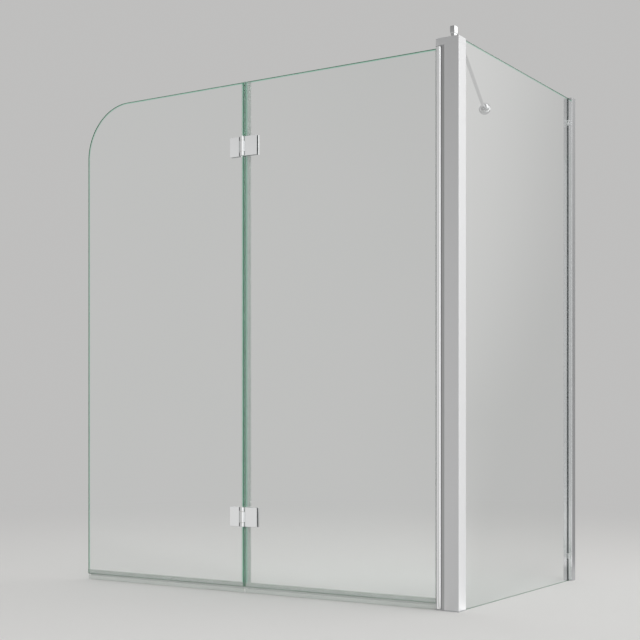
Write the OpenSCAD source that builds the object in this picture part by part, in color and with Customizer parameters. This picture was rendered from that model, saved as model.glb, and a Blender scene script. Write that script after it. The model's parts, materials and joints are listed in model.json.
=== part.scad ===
// Corner bath screen with two folding glass panes, a fixed side pane and a stabiliser bar.
// Millimetres. Z is up, X runs along the long side of the bath towards the corner post,
// Y runs inwards to the wall. The origin is the middle of the post's foot, on the bath rim.

/* [Overall size] */
// From the outer face of the post to the free edge of the outer pane
screen_length = 1210; // [900:5:1500]
// From the front face of the post to the wall
return_depth = 750; // [500:5:1000]
// From the bath rim to the top of the post cap
screen_height = 1400; // [1000:5:1600]

/* [Glass] */
// Thickness of every pane
glass_t = 6; // [5:0.5:8]
// Polished arris along the edges of the panes
glass_arris = 0.8; // [0.3:0.1:1.5]
// Radius of the free upper corner
corner_radius = 150; // [40:5:250]
// Top of the folding panes below the top of the post cap
pane_drop = 22; // [21:0.5:40]
// Lower edge of the folding panes above the rim
pane_lift = 17; // [12:0.5:30]
// Middle of the folding panes behind the front face of the post
pane_setback = 11; // [9:0.5:14]
// Middle of the side pane in from the outer face of the post
side_setback = 8.5; // [7.5:0.5:10]
// From the pivot axis to the middle of the fold
inner_pane_w = 587.7; // [400:1:800]
// Open gap between the two folding panes
fold_gap = 4.3; // [3:0.1:6]

/* [Corner post] */
// Side of the square post
post_size = 40; // [36:1:60]
// Wall of the extrusion
post_wall = 1.8; // [1.2:0.1:3]
// Radius of the outer edges of the post
post_edge_r = 1; // [0.4:0.1:3]
// Height of the cast top cap
cap_h = 18; // [16:0.5:25]
// Plate at the top of the cap
cap_plate = 4; // [3:0.5:6]
// Thickness of the foot plate
foot_t = 3; // [2.5:0.5:6]
// Radius of the screw ports' bores
port_r = 1.5; // [1.2:0.1:2]
// How deep the side pane's channel is
channel_depth = 14; // [10:0.5:16]

/* [Pivot] */
// From the left face of the post to the pivot axis
pivot_reach = 18.5; // [16:0.5:24]
// Radius of the round pivot profile
pivot_r = 8.5; // [8:0.1:10]
// Gap between the pivot profile and its hollow in the post
pivot_gap = 0.8; // [0.5:0.1:2]
// Radius of the round end of the cap
cap_nose_r = 11; // [10:0.5:14]
// Radius of the upper pivot pin
upper_pin_r = 3; // [2.5:0.1:3.5]
// Radius of the lower pivot pin
lower_pin_r = 2; // [1.5:0.1:2.5]
// Running clearance of every pin in its bush, on the radius
running_fit = 0.05; // [0.02:0.01:0.08]
// From the pivot axis to the visible edge of the clear gaskets
gasket_reach = 9; // [8.5:0.5:14]

/* [Hinges] */
// Height of the hinge plates
hinge_h = 53; // [44:1:70]
// Thickness of the hinge plates
plate_t = 4; // [3:0.5:5]
// Thickness of the pads between plate and glass
pad_t = 1; // [0.5:0.1:1.5]
// Width of the plates on the inner pane
inner_plate_w = 39; // [32:1:50]
// Width of the plates on the outer pane
outer_plate_w = 31; // [26:1:45]
// Middle of the upper hinge below the top of the folding panes
hinge_drop = 173.5; // [60:0.5:400]
// Middle of the lower hinge above the lower edge of the folding panes
hinge_lift = 188; // [80:0.5:400]
// Radius of the hinge barrel
barrel_r = 6; // [5.5:0.1:6.5]
// Barrel axis in front of the face of the glass
barrel_out = 7.5; // [7:0.1:10]
// Radius of the hinge pin
hinge_pin_r = 3; // [2:0.1:3.5]
// Height of the middle knuckle
knuckle_h = 29; // [20:1:35]
// Distance of the hinge screws above and below the middle of the hinge
hinge_screw_dz = 14; // [10:0.5:18]

/* [Wall profile] */
// Width of the wall profile
wall_profile_w = 30; // [28:1:40]
// Depth of the wall profile from the wall
wall_profile_d = 28.4; // [26:0.2:36]
// Wall of the wall profile
wall_profile_t = 1.4; // [1.2:0.1:2]
// Spacing of the wall screw holes
wall_hole_pitch = 550; // [300:10:600]
// Radius of the wall screw holes
wall_hole_r = 2.5; // [2:0.1:3]
// Cross screws and glass wedges in from the profile's ends
cross_screw_inset = 72; // [40:1:150]

/* [Stabiliser] */
// Radius of the bar
bar_r = 5; // [4:0.5:7]
// Middle of the wall bracket, left of the post's axis
bracket_left = 266; // [100:1:450]
// Middle of the wall bracket above the rim
bracket_z = 1410; // [1000:1:1650]
// Height of the clamp block above the cap
block_h = 28.5; // [24:0.5:40]
// Radius of the two ball ends
ball_r = 5; // [4.5:0.1:5.4]
// Radius of the wall bracket's cup
cup_r = 18; // [17:0.5:26]

/* [Seals] */
// Wall of the clear seal profiles
seal_t = 1; // [0.8:0.1:1.4]
// How far the bottom seals grip up the glass
seal_grip = 11.5; // [8:0.5:18]
// How far the fold seal grips over the inner pane
fold_grip = 17; // [8:0.5:20]
// How far the fold seal's lip covers the outer pane
fold_cover = 9; // [6:0.5:16]

/* [Hidden] */

$fn = 72;
cut = 1;          // how far a cutter runs past the face it opens
seat = 0.1;       // clearance of a strip or plug in its seat
slide_gap = 0.3;  // clearance of a part that slides or lies beside another
press_gap = 0.01; // gap round a bush that is pressed in
root = 0.5;       // how far a piece's own parts run into each other
pin_chamfer = 0.4;
head_lip = 0.3;   // straight rim of a countersunk head
hex_depth = 1.2;
hex_share = 0.42; // hexagon socket's radius as a share of the head's

// Where the pieces are
half = post_size / 2;
pane_y = -half + pane_setback;
side_x = half - side_setback;
wall_y = return_depth - half;
free_x = half - screen_length;
pivot_x = -half - pivot_reach;
fold_x = pivot_x - inner_pane_w;
pane_top = screen_height - pane_drop;
front_y = pane_y - glass_t / 2;
back_y = pane_y + glass_t / 2;
cap_z = screen_height - cap_h;
inner_left = fold_x + fold_gap / 2;
outer_right = fold_x - fold_gap / 2;
hinge_levels = [pane_top - hinge_drop, pane_lift + hinge_lift];

// Corner post and cap
port_wall = 1.9;
port_sink = 0.4;
port_slit = 1;
port_ring_r = port_r + port_wall;
port_at = half - post_wall - port_ring_r + port_sink;
ports = [[-port_at, -port_at, 45], [port_at, -port_at, 135], [-port_at, port_at, -45]];
gasket_t = 1.5;
gasket_inset = 1;
channel_w = glass_t + 2 * (gasket_t + seat);
channel_wall = 1.5;
nose_half = 4.5;
nose_from_axis = 7.6;
nose_tip = pivot_x + nose_from_axis;
nose_wall = 1.5;
cap_wall = 2.2;
cap_nose_shift = 2.5;
cap_nose_x = pivot_x + cap_nose_shift;
cap_chamfer = 0.6;
cap_boss_wall = 1;
glass_slot_gap = 0.3;
glass_stop = 2;
side_start = half - channel_depth + glass_stop;
cap_screw_r = port_r;
cap_screw_head_r = 3.6;
cap_screw_bite = 14;
foot_screw_bite = 12;
foot_screw_head_r = port_r + 1.5;
foot_nose_r = 7;

// Pivot
flange_t = 1.5;
bush_flange_t = 0.8;
bush_wall = 1.45;
bush_flange_r = 6.8;
axial_gap = 0.1;
washer_t = 0.6;
washer_r = 6;
pivot_slot = glass_t + 2.4;
plug_wall = 1.15;
slot_past_axis = lower_pin_r + running_fit + plug_wall;
plug_port_r = 0.9;
plug_port_y = pivot_slot / 2 + 2;
plug_head_r = 1.7;
plug_screw_len = 9;
pane_past_axis = 0.7;
profile_top = cap_z - bush_flange_t - axial_gap - flange_t;
profile_low = foot_t + washer_t + axial_gap + flange_t;
pin_play = 2;
bush_play = 0.5;
upper_pin_len = cap_h - cap_plate - pin_play;
lower_pin_floor = 0.5;
lower_pin_top = pane_lift - 1.5;
lip_t = (pivot_slot - glass_t) / 2 - seat;
gasket_left = pivot_x - gasket_reach;

// Hinges
barrel_shift = 0.4;
barrel_x = outer_right + barrel_shift;
barrel_y = front_y - barrel_out;
leaf_front = front_y - pad_t - plate_t;
leaf_back = front_y - pad_t;
cover_front = back_y + pad_t;
cover_back = back_y + pad_t + plate_t;
knuckle_gap = 1;
bush_head_t = 0.9;
bush_head_r = barrel_r - 0.5;
hinge_bush_r = hinge_pin_r + 1.1;
hinge_bush_len = 10;
end_knuckle_h = (hinge_h - knuckle_h) / 2 - knuckle_gap;
inner_plate_gap = 0.3;
outer_plate_gap = 5.9;
inner_plate_left = barrel_x + barrel_r + inner_plate_gap;
inner_plate_right = inner_plate_left + inner_plate_w;
outer_plate_right = barrel_x - barrel_r - outer_plate_gap;
outer_plate_left = outer_plate_right - outer_plate_w;
outer_web_t = 2.4;
inner_web_setback = 0.4;
web_overlap = 2;
plate_chamfer = 0.8;
knuckle_chamfer = 0.5;
pad_inset = 0.6;
pin_overhang = 0.4;
inner_screw_shift = 2;
inner_screw_x = (inner_plate_left + inner_plate_right) / 2 + inner_screw_shift;
outer_screw_x = (outer_plate_left + outer_plate_right) / 2;
glass_hole_r = 4.5;
sleeve_gap = 0.1;
hinge_screw_r = 2.5;
screw_head_r = 4.6;
screw_bite = 2.8;

// Wall profile
profile_front = wall_y - wall_profile_d;
profile_half = wall_profile_w / 2;
profile_edge_r = 0.8;
holder_off_wall = 2.4;
holder_back = wall_y - holder_off_wall;
holder_gap = 0.3;
glass_off_wall = 12;
glass_end = wall_y - glass_off_wall;
rail_setback = 4.4;
rail_half = profile_half - wall_profile_t - holder_gap;
rail_front = profile_front + rail_setback;
profile_cap_t = 2;
profile_top_z = screen_height - profile_cap_t;
channel_end_gap = 1;
holder_channel_end = glass_end + channel_end_gap;
cross_off_wall = 14;
cross_y = wall_y - cross_off_wall;
cross_levels = [cross_screw_inset, screen_height / 2, screen_height - cross_screw_inset];
wedge_levels = [cross_screw_inset, screen_height - cross_screw_inset];
wedge_h = 16;
wedge_proud = 1.6;
wedge_fit = 0.05;
wedge_head_t = 3.4;
wedge_tip_t = 0.7;
wedge_off_end = 3;
gasket_end_gap = 0.5;
cross_screw_r = 1.6;
cross_screw_len = 8.6;
cross_bore_len = 6;
cross_tip_r = 0.4;
cross_head_r = 3.2;
cross_head_h = 2;
cross_head_slope = 1;
cross_drive_r = 1.3;
cross_drive_h = 1.1;
cover_r = 5;
cover_h = 3.2;
cover_slope = 1.4;
cover_edge = [0.4, 0.5];

// Stabiliser
block_w = 13.3;
block_d = 17.5;
block_neck_h = 10.8;
block_neck_in = 1.5;
block_x = -3;
block_y = -0.75;
block_chamfer = 1;
ball_gap = 0.05;
ball_inset = 3.2;
ball_above_neck = 9;
ball_off_wall = 10;
ball_a = [block_x, block_y + block_d / 2 - ball_inset,
    screen_height + block_neck_h + ball_above_neck];
ball_b = [-bracket_left, wall_y - ball_off_wall, bracket_z];
bar_run = ball_b - ball_a;
bar_len = norm(bar_run);
bar_yaw = atan2(-bar_run[0], bar_run[1]);
bar_pitch = asin(bar_run[2] / bar_len);
ball_neck_r = 2.1;
ball_neck_len = 8;
socket_end = 22;
bar_start = 12;
ball_collar_r = bar_r + 1.4;
collar_slope = 1.4;
collar_edge = 0.6;
base_r = cup_r - 3;
base_t = 3;
boss_past_ball = 3;
boss_r = ball_r + 3.2;
bracket_hole_x = 11.5;
bracket_hole_r = 2.2;
socket_mouth_r = 4.4;
cup_t = 1.4;
cup_depth = 15;
cup_rim = 5;
set_screw_r = 2;
set_screw_gap = 0.1;
set_screw_below_top = 0.5;
set_hex_depth = 1.6;
set_hex_share = 0.6;
block_screw_r = 2.5;
block_screw_head_r = 4.4;
block_screw_bite = 7;
block_head_h = 6;
block_head_floor = 2;
block_head_z = screen_height - cap_plate - block_head_floor - block_head_h;
block_bore_h = 9;
block_head_wall = 1.8;
block_hex_r = 2.3;
block_hex_depth = 2.2;

// Seals
seal_floor = 1.2;
sill_gap = 0.2;
drip_reach = 6;
drip_top = 0.6;
drip_tip = [0.8, 0.6];
drip_root = 0.9;
seal_end_gap = 0.5;
hinge_clear = 1;   // how far the fold seal stops before the hinges

// General shapes

// A rectangle between two corners with round corners of radius r
module round_rect(low, high, r) {
    translate([low[0] + r, low[1]]) square([high[0] - low[0] - 2 * r, high[1] - low[1]]);
    translate([low[0], low[1] + r]) square([high[0] - low[0], high[1] - low[1] - 2 * r]);
    for (x = [low[0] + r, high[0] - r], y = [low[1] + r, high[1] - r])
        translate([x, y]) circle(r);
}

// A rectangle between two corners with its corners cut off by c
module cut_rect(low, high, c) {
    polygon([[low[0] + c, low[1]], [high[0] - c, low[1]], [high[0], low[1] + c],
        [high[0], high[1] - c], [high[0] - c, high[1]], [low[0] + c, high[1]],
        [low[0], high[1] - c], [low[0], low[1] + c]]);
}

// A plain box between two corners
module box(low, high) {
    translate(low) cube(high - low);
}

// A box between two corners with all its edges chamfered by c
module bevelled_box(low, high, c) {
    intersection() {
        translate([0, 0, low[2]]) linear_extrude(high[2] - low[2])
            cut_rect([low[0], low[1]], [high[0], high[1]], c);
        translate([low[0], 0, 0]) rotate([90, 0, 90]) linear_extrude(high[0] - low[0])
            cut_rect([low[1], low[2]], [high[1], high[2]], c);
        translate([0, high[1], 0]) rotate([90, 0, 0]) linear_extrude(high[1] - low[1])
            cut_rect([low[0], low[2]], [high[0], high[2]], c);
    }
}

// A round bar along Z with both ends chamfered by c
module bevelled_rod(r, h, c) {
    rotate_extrude() polygon([[0, 0], [r - c, 0], [r, c], [r, h - c], [r - c, h], [0, h]]);
}

// A tube along Z
module tube(outer, inner, h) {
    difference() {
        cylinder(r = outer, h = h);
        translate([0, 0, -cut]) cylinder(r = inner, h = h + 2 * cut);
    }
}

// A cylinder along Y from y0 to y1
module y_rod(x, y0, y1, z, r) {
    translate([x, y1, z]) rotate([90, 0, 0]) cylinder(r = r, h = y1 - y0);
}

// A countersunk screw along -Z with the top of its head at the origin
module countersunk_screw(r, head_r, len) {
    difference() {
        rotate_extrude() polygon([[0, 0], [head_r, 0], [head_r, -head_lip],
            [r, -head_lip - (head_r - r)], [r, -len + r], [r / 2, -len], [0, -len]]);
        translate([0, 0, -hex_depth])
            cylinder(r = head_r * hex_share, h = hex_depth + cut, $fn = 6);
    }
}

// The seat that a countersunk screw leaves, with a through bore
module countersink(r, head_r, len) {
    rotate_extrude() polygon([[0, cut], [head_r + seat, cut], [head_r + seat, -head_lip],
        [r + seat, -head_lip - (head_r - r)], [r + seat, -len], [0, -len]]);
}

// Moves a shape drawn along +Z onto the line of the stabiliser bar
module along_bar() {
    translate(ball_a) rotate([-90 + bar_pitch, 0, bar_yaw]) children();
}

// Corner post

module post_channel_block() {
    translate([side_x - channel_w / 2 - channel_wall, half - channel_depth - channel_wall])
        square([channel_w + 2 * channel_wall, channel_depth + channel_wall]);
}

module post_section() {
    difference() {
        union() {
            round_rect([-half, -half], [half, half], post_edge_r);
            translate([nose_tip, pane_y - nose_half])
                square([-half + post_wall - nose_tip, 2 * nose_half]);
        }
        difference() {
            translate([-half + post_wall, -half + post_wall])
                square(post_size - 2 * post_wall);
            post_channel_block();
            for (p = ports) translate([p[0], p[1]]) circle(port_ring_r);
        }
        for (p = ports) translate([p[0], p[1]]) {
            circle(port_r);
            rotate(p[2]) translate([0, -port_slit / 2]) square([port_ring_r + cut, port_slit]);
        }
        translate([side_x - channel_w / 2, half - channel_depth])
            square([channel_w, channel_depth + cut]);
        translate([pivot_x, pane_y]) circle(pivot_r + pivot_gap);
        difference() {
            translate([nose_tip, pane_y - nose_half + nose_wall])
                square([-half - nose_tip, 2 * (nose_half - nose_wall)]);
            translate([pivot_x, pane_y]) circle(pivot_r + pivot_gap + nose_wall);
        }
    }
}

module corner_post() color("lightsteelblue")
    translate([0, 0, foot_t]) linear_extrude(cap_z - foot_t) post_section();

// Outline of the post with the round nose that reaches over the pivot
module cap_outline(inset = 0) {
    round_rect([-half + inset, -half + inset], [half - inset, half - inset], post_edge_r);
    translate([cap_nose_x, -half + inset])
        square([-cap_nose_x, 2 * (cap_nose_r - inset)]);
    translate([cap_nose_x, cap_nose_r - half]) circle(cap_nose_r - inset);
}

// The slot that lets the side pane pass through cap and foot
module side_pane_slot(z0, z1) {
    box([side_x - glass_t / 2 - glass_slot_gap, side_start - glass_slot_gap, z0],
        [side_x + glass_t / 2 + glass_slot_gap, half + cut, z1]);
}

module post_top_cap() color("silver") difference() {
    translate([0, 0, cap_z]) {
        linear_extrude(cap_h - cap_chamfer) cap_outline();
        linear_extrude(cap_h) cap_outline(cap_chamfer);
    }
    translate([0, 0, cap_z - cut]) linear_extrude(cap_h - cap_plate + cut) difference() {
        translate([-half + cap_wall, -half + cap_wall]) square(post_size - 2 * cap_wall);
        for (p = ports) translate([p[0], p[1]]) circle(port_ring_r + cap_boss_wall);
        translate([block_x, block_y]) circle(block_screw_head_r + block_head_wall);
        post_channel_block();
    }
    side_pane_slot(cap_z - cut, screen_height + cut);
    for (p = ports) translate([p[0], p[1], screen_height])
        countersink(cap_screw_r, cap_screw_head_r, cap_h + cut);
    translate([pivot_x, pane_y, cap_z - cut])
        cylinder(r = upper_pin_r + running_fit + bush_wall, h = cap_h - cap_plate + cut);
    translate([block_x, block_y, cap_z - cut]) {
        cylinder(r = block_screw_r + seat, h = cap_h + 2 * cut);
        cylinder(r = block_screw_head_r + seat,
            h = cap_h - cap_plate - block_head_floor + cut);
    }
}

module cap_screws() color("gainsboro") for (p = ports)
    translate([p[0], p[1], screen_height])
        countersunk_screw(cap_screw_r, cap_screw_head_r, cap_h + cap_screw_bite);

module post_foot() color("dimgray") difference() {
    linear_extrude(foot_t) {
        round_rect([-half, -half], [half, half], post_edge_r);
        translate([pivot_x, pane_y - foot_nose_r]) square([-pivot_x, 2 * foot_nose_r]);
        translate([pivot_x, pane_y]) circle(foot_nose_r);
    }
    side_pane_slot(-cut, foot_t + cut);
    translate([pivot_x, pane_y, lower_pin_floor])
        cylinder(r = lower_pin_r, h = foot_t + cut);
    for (p = ports) translate([p[0], p[1], 0]) mirror([0, 0, 1])
        countersink(port_r, foot_screw_head_r, foot_t + cut);
}

module foot_screws() color("gainsboro") for (p = ports)
    translate([p[0], p[1], 0]) mirror([0, 0, 1])
        countersunk_screw(port_r, foot_screw_head_r, foot_t + foot_screw_bite);

// Pivot of the inner pane

module upper_pivot_bush() color("ivory") translate([pivot_x, pane_y, 0]) {
    translate([0, 0, cap_z]) tube(upper_pin_r + running_fit + bush_wall - press_gap,
        upper_pin_r + running_fit, cap_h - cap_plate - bush_play);
    translate([0, 0, cap_z - bush_flange_t])
        tube(bush_flange_r, upper_pin_r + running_fit, bush_flange_t);
}

module lower_pivot_pin() color("gainsboro") translate([pivot_x, pane_y, lower_pin_floor])
    bevelled_rod(lower_pin_r, lower_pin_top - lower_pin_floor, pin_chamfer);

module lower_thrust_washer() color("ivory") translate([pivot_x, pane_y, foot_t])
    tube(washer_r, lower_pin_r + running_fit, washer_t);

// The round extrusion that grips the inner pane and turns on the pivots
module pivot_section() {
    difference() {
        circle(pivot_r);
        translate([-pivot_r - cut, -pivot_slot / 2])
            square([pivot_r + cut + slot_past_axis, pivot_slot]);
        for (s = [-1, 1]) translate([0, s * plug_port_y]) circle(plug_port_r);
    }
}

module pivot_profile() color("silver") translate([pivot_x, pane_y, profile_low])
    linear_extrude(profile_top - profile_low) pivot_section();

// End plug of the pivot profile: a flange, a tongue in the slot and two screw seats
module pivot_plug(tongue) {
    difference() {
        union() {
            cylinder(r = pivot_r, h = flange_t);
            intersection() {
                translate([-pivot_r, -pivot_slot / 2 + seat, -tongue])
                    cube([pivot_r + slot_past_axis - seat, pivot_slot - 2 * seat,
                        tongue + root]);
                translate([0, 0, -tongue]) cylinder(r = pivot_r - seat, h = tongue + root);
            }
        }
        for (s = [-1, 1]) translate([0, s * plug_port_y, flange_t])
            countersink(plug_port_r, plug_head_r, flange_t + cut);
    }
}

module upper_pivot_plug() color("darkgray") translate([pivot_x, pane_y, profile_top]) {
    pivot_plug(profile_top - pane_top - slide_gap);
    translate([0, 0, flange_t - root])
        bevelled_rod(upper_pin_r, upper_pin_len + root, pin_chamfer);
}

module lower_pivot_plug() color("darkgray") translate([pivot_x, pane_y, profile_low])
    difference() {
        mirror([0, 0, 1]) pivot_plug(pane_lift - profile_low - slide_gap);
        translate([0, 0, -flange_t - cut])
            cylinder(r = lower_pin_r + running_fit, h = pane_lift + 2 * cut);
    }

module plug_screws() color("gainsboro") for (s = [-1, 1]) {
    translate([pivot_x, pane_y + s * plug_port_y, profile_top + flange_t])
        countersunk_screw(plug_port_r, plug_head_r, plug_screw_len);
    translate([pivot_x, pane_y + s * plug_port_y, profile_low - flange_t])
        mirror([0, 0, 1]) countersunk_screw(plug_port_r, plug_head_r, plug_screw_len);
}

// Clear strips that bed the inner pane in the pivot profile and lip out over its faces
module pivot_gaskets() color("azure") for (s = [-1, 1])
    translate([gasket_left, pane_y + s * (glass_t + lip_t + seat) / 2 - lip_t / 2, pane_lift])
        cube([pivot_x + slot_past_axis - slide_gap - gasket_left, lip_t,
            pane_top - pane_lift]);

// Panes

// A flat pane in the XZ plane with a polished arris on all its edges
module pane_blank(x0, x1, z0, z1) {
    bevelled_box([x0, front_y, z0], [x1, back_y, z1], glass_arris);
}

module glass_holes(x) {
    for (z = hinge_levels, s = [-1, 1])
        y_rod(x, front_y - cut, back_y + cut, z + s * hinge_screw_dz, glass_hole_r);
}

module inner_glass() color("palegreen", 0.4) difference() {
    pane_blank(inner_left, pivot_x + pane_past_axis, pane_lift, pane_top);
    glass_holes(inner_screw_x);
}

// What the round free corner takes off the outer pane
module corner_cutter() {
    difference() {
        box([free_x - cut, front_y - cut, pane_top - corner_radius],
            [free_x + corner_radius, back_y + cut, pane_top + cut]);
        translate([free_x + corner_radius, back_y, pane_top - corner_radius])
            rotate([90, 0, 0]) rotate_extrude($fn = 180) polygon([[0, 0],
                [corner_radius - glass_arris, 0], [corner_radius, glass_arris],
                [corner_radius, glass_t - glass_arris],
                [corner_radius - glass_arris, glass_t], [0, glass_t]]);
    }
}

module outer_glass() color("palegreen", 0.4) difference() {
    pane_blank(free_x, outer_right, pane_lift, pane_top);
    corner_cutter();
    glass_holes(outer_screw_x);
}

module side_glass() color("palegreen", 0.4)
    bevelled_box([side_x - glass_t / 2, side_start, 0],
        [side_x + glass_t / 2, glass_end, screen_height], glass_arris);

module post_glass_gaskets() color("darkslategray") for (s = [-1, 1])
    translate([side_x + s * (glass_t + gasket_t + seat) / 2 - gasket_t / 2,
        half - channel_depth + gasket_inset, foot_t])
        cube([gasket_t, channel_depth - gasket_inset, cap_z - foot_t]);

// Wall profile

// The channel that is screwed to the wall
module wall_channel() color("lightsteelblue") difference() {
    linear_extrude(profile_top_z) difference() {
        translate([side_x - rail_half, rail_front])
            square([2 * rail_half, wall_y - rail_front]);
        translate([side_x - rail_half + wall_profile_t, rail_front - cut])
            square([2 * (rail_half - wall_profile_t), wall_y - wall_profile_t - rail_front + cut]);
    }
    for (k = [-1, 0, 1])
        y_rod(side_x, wall_y - 2 * wall_profile_t, wall_y + cut,
            screen_height / 2 + k * wall_hole_pitch, wall_hole_r);
    cross_bores();
}

module cross_bores() {
    for (z = cross_levels) translate([side_x - profile_half - cut, cross_y, z])
        rotate([0, 90, 0]) cylinder(r = cross_screw_r + seat, h = cross_bore_len);
}

// The chromed profile that slides over the wall channel and holds the side pane
module wall_profile() color("silver") difference() {
    linear_extrude(profile_top_z) difference() {
        round_rect([side_x - profile_half, profile_front],
            [side_x + profile_half, holder_back], profile_edge_r);
        difference() {
            translate([side_x - profile_half + wall_profile_t, profile_front + wall_profile_t])
                square([wall_profile_w - 2 * wall_profile_t, wall_profile_d]);
            translate([side_x - channel_w / 2 - wall_profile_t, profile_front])
                square([channel_w + 2 * wall_profile_t,
                    holder_channel_end + wall_profile_t - profile_front]);
        }
        translate([side_x - channel_w / 2, profile_front - cut])
            square([channel_w, holder_channel_end - profile_front + cut]);
    }
    cross_bores();
}

module wall_profile_cap() color("silver") difference() {
    translate([0, 0, profile_top_z]) linear_extrude(profile_cap_t)
        round_rect([side_x - profile_half, profile_front],
            [side_x + profile_half, wall_y], profile_edge_r);
    box([side_x - glass_t / 2 - glass_slot_gap, profile_front - cut, profile_top_z - cut],
        [side_x + glass_t / 2 + glass_slot_gap, glass_end + glass_slot_gap,
            screen_height + cut]);
}

module wall_glass_gaskets() color("darkslategray") difference() {
    for (s = [-1, 1])
        translate([side_x + s * (glass_t + gasket_t + seat) / 2 - gasket_t / 2,
            profile_front + gasket_end_gap, 0])
            cube([gasket_t, glass_end - profile_front - 2 * gasket_end_gap, profile_top_z]);
    for (z = wedge_levels)
        box([side_x - channel_w, profile_front - cut, z - wedge_h / 2 - seat],
            [side_x + channel_w, glass_end, z + wedge_h / 2 + seat]);
}

// Small wedges that press the side pane into the profile near its two ends
module glass_wedges() color("whitesmoke") for (z = wedge_levels, s = [-1, 1])
    translate([side_x, 0, z - wedge_h / 2]) mirror([s < 0 ? 1 : 0, 0, 0])
        linear_extrude(wedge_h) polygon([
            [glass_t / 2 + wedge_fit, profile_front - wedge_proud],
            [glass_t / 2 + wedge_head_t, profile_front - wedge_proud],
            [glass_t / 2 + wedge_head_t, profile_front],
            [channel_w / 2 - wedge_fit, profile_front],
            [glass_t / 2 + wedge_tip_t, glass_end - wedge_off_end],
            [glass_t / 2 + wedge_fit, glass_end - wedge_off_end]]);

// Pan-head screws that lock the sliding profile to the channel, on the bath side
module cross_screws() color("gainsboro") for (z = cross_levels)
    translate([side_x - profile_half, cross_y, z]) rotate([0, 90, 0]) difference() {
        rotate_extrude() polygon([[0, -cross_head_h],
            [cross_head_r - cross_head_slope, -cross_head_h],
            [cross_head_r, -cross_head_h + cross_head_slope], [cross_head_r, 0],
            [cross_screw_r, 0], [cross_screw_r, cross_screw_len - cross_screw_r + cross_tip_r],
            [cross_tip_r, cross_screw_len], [0, cross_screw_len]]);
        translate([0, 0, -cross_head_h - cut])
            cylinder(r = cross_drive_r, h = cut + cross_drive_h, $fn = 4);
    }

module cross_screw_covers() color("silver") for (z = cross_levels)
    translate([side_x - profile_half, cross_y, z]) rotate([0, -90, 0]) rotate_extrude()
        polygon([[cross_head_r + seat, 0], [cover_r, 0], [cover_r, cover_h - cover_slope],
            [cover_r - cover_edge[0], cover_h - cover_edge[1]],
            [cover_r - cover_slope, cover_h], [0, cover_h],
            [0, cross_head_h + seat], [cross_head_r + seat, cross_head_h + seat]]);

// Stabiliser

module stabiliser_block() color("silver") {
    low = [block_x - block_w / 2, block_y - block_d / 2, screen_height + block_neck_h];
    high = [block_x + block_w / 2, block_y + block_d / 2, screen_height + block_h];
    difference() {
        union() {
            bevelled_box(low, high, block_chamfer);
            box([low[0] + block_neck_in, low[1] + block_neck_in, screen_height],
                [high[0] - block_neck_in, high[1] - block_neck_in, low[2] + 2 * root]);
        }
        translate(ball_a) ball_socket(set_screw_r, block_h);
        translate([block_x, block_y, screen_height - cut])
            cylinder(r = block_screw_r, h = block_bore_h);
    }
}

module block_fixing_screw() color("gainsboro") translate([block_x, block_y, 0]) {
    difference() {
        union() {
            translate([0, 0, block_head_z]) cylinder(r = block_screw_head_r, h = block_head_h);
            translate([0, 0, block_head_z])
                cylinder(r = block_screw_r, h = screen_height + block_screw_bite - block_head_z);
        }
        translate([0, 0, block_head_z - cut])
            cylinder(r = block_hex_r, h = cut + block_hex_depth, $fn = 6);
    }
}

module block_set_screw() color("gainsboro")
    translate([ball_a[0], ball_a[1], ball_a[2] + ball_r + set_screw_gap]) {
        len = screen_height + block_h - set_screw_below_top - ball_a[2] - ball_r - set_screw_gap;
        difference() {
            bevelled_rod(set_screw_r, len, pin_chamfer);
            translate([0, 0, len - set_hex_depth])
                cylinder(r = set_screw_r * set_hex_share, h = set_hex_depth + cut, $fn = 6);
        }
    }

// Half of a disc, to the right of the Z axis, as the profile of a ball
module half_disc(r) {
    intersection() {
        circle(r);
        translate([0, -r]) square([r, 2 * r]);
    }
}

// The hollow that a ball end sits in, with a straight round way out upwards
module ball_socket(mouth_r, mouth_h) {
    rotate_extrude() {
        half_disc(ball_r + ball_gap);
        square([mouth_r, mouth_h]);
    }
}

// Ball, neck and collar that carry one end of the bar
module ball_end() {
    rotate_extrude() {
        half_disc(ball_r);
        square([ball_neck_r, ball_neck_len + root]);
        difference() {
            polygon([[0, ball_neck_len], [ball_collar_r - collar_slope, ball_neck_len],
                [ball_collar_r, ball_neck_len + collar_slope],
                [ball_collar_r, socket_end - collar_edge],
                [ball_collar_r - collar_edge, socket_end], [0, socket_end]]);
            translate([0, bar_start]) square([bar_r, socket_end]);
        }
    }
}

module front_ball_end() color("silver") along_bar() ball_end();

module wall_ball_end() color("silver") along_bar()
    translate([0, 0, bar_len]) mirror([0, 0, 1]) ball_end();

module stabiliser_bar() color("dimgray") along_bar() translate([0, 0, bar_start])
    cylinder(r = bar_r, h = bar_len - 2 * bar_start);

// Turns a shape revolved about Z so that it stands off the wall at the bracket
module on_bracket() {
    translate([-bracket_left, wall_y, bracket_z]) rotate([90, 0, 0]) children();
}

module bracket_base() color("lightsteelblue") on_bracket() difference() {
    union() {
        cylinder(r = base_r, h = base_t);
        cylinder(r = boss_r, h = ball_off_wall + boss_past_ball);
    }
    translate([0, 0, ball_off_wall]) ball_socket(socket_mouth_r, 2 * ball_r);
    for (s = [-1, 1]) translate([s * bracket_hole_x, 0, -cut])
        cylinder(r = bracket_hole_r, h = base_t + 2 * cut);
}

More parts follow.
